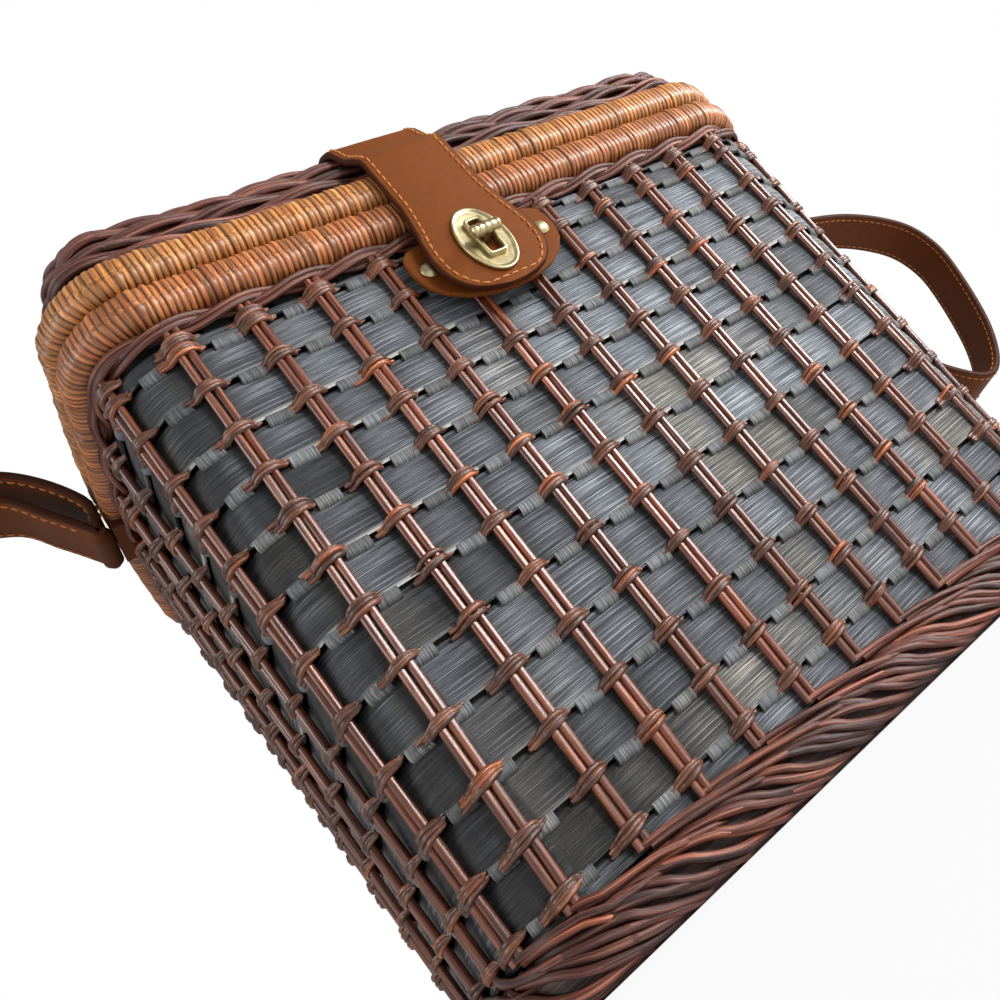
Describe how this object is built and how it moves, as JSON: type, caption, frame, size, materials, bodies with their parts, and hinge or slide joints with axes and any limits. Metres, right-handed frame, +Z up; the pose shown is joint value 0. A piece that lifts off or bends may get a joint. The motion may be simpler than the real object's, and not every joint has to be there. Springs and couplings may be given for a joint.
{
  "type": "picnic basket",
  "caption": "Lidded picnic basket of wood chip hoops and willow rods, with cane-bound rims, a leather tongue with a turn lock and a leather loop on each side.",
  "frame": {"origin": "middle of the foot on the surface that the basket stands on", "axes": "+Z up, +X to the right and +Y to the back as seen by someone who faces the clasp"},
  "size_m": [0.5884, 0.2524, 0.3178],
  "materials": {
    "chip": "blue-grey stained wood chip, satin",
    "rod": "red-brown varnished willow",
    "willow": "dark brown varnished willow",
    "cane": "golden brown split cane",
    "board": "plain wood",
    "leather": "tan leather with orange stitching",
    "brass": "polished pale brass",
    "lining": "black coated cloth"
  },
  "bodies": {
    "tub": {"foot_border": "willow", "base_board": "board", "chip_hoop_01": "chip", "chip_hoop_02": "chip", "chip_hoop_03": "chip", "chip_hoop_04": "chip", "chip_hoop_05": "chip", "chip_hoop_06": "chip", "chip_hoop_07": "chip", "chip_hoop_08": "chip", "chip_hoop_09": "chip", "chip_hoop_10": "chip", "chip_hoop_11": "chip", "chip_hoop_12": "chip", "chip_hoop_13": "chip", "upright_chips": "chip", "rods_front": "rod", "rods_back": "rod", "rods_left": "rod", "rods_right": "rod", "waling": "willow", "body_rim": "cane", "lining_tub": "lining", "clasp_backing": "leather", "backing_stud_left": "brass", "backing_stud_right": "brass", "lock_base": "brass", "hinge_leaf_body_left": "leather", "hinge_leaf_body_right": "leather", "hinge_pin_left": "brass", "hinge_pin_right": "brass", "strap_root_left": "leather", "strap_root_right": "leather", "strap_rivet_left": "brass", "strap_rivet_right": "brass"},
    "lid": {"lid_rim": "cane", "lid_skirt": "willow", "lid_top": "willow", "lid_lining": "lining", "hinge_leaf_lid_left": "leather", "hinge_leaf_lid_right": "leather", "tongue_root": "leather", "tongue_rivet_left": "brass", "tongue_rivet_right": "brass"},
    "tongue": {"tongue_flap": "leather", "slot_plate": "brass", "slot_frame": "brass"},
    "knob": {"turn_knob": "brass"},
    "loop_left": {"strap_loop_left": "leather"},
    "loop_right": {"strap_loop_right": "leather"}
  },
  "joints": [
    {"name": "lid_hinge", "type": "hinge", "parent": "tub", "child": "lid", "pos_m": [0, 0.1194, 0.26195], "axis": [-1, 0, 0], "range_deg": [0, 110]},
    {"name": "tongue_lift", "type": "hinge", "parent": "lid", "child": "tongue", "pos_m": [-0.014, -0.1187, 0.28], "axis": [-1, 0, 0], "range_deg": [0, 150]},
    {"name": "knob_turn", "type": "hinge", "parent": "tongue", "child": "knob", "pos_m": [-0.014, -0.12, 0.221], "axis": [0, -1, 0], "range_deg": [0, 90]},
    {"name": "strap_left_swing", "type": "hinge", "parent": "tub", "child": "loop_left", "pos_m": [-0.1634, 0, 0.2442], "axis": [0, -1, 0], "range_deg": [0, 45]},
    {"name": "strap_right_swing", "type": "hinge", "parent": "tub", "child": "loop_right", "pos_m": [0.1634, 0, 0.2442], "axis": [0, -1, 0], "range_deg": [0, 60]}
  ]
}
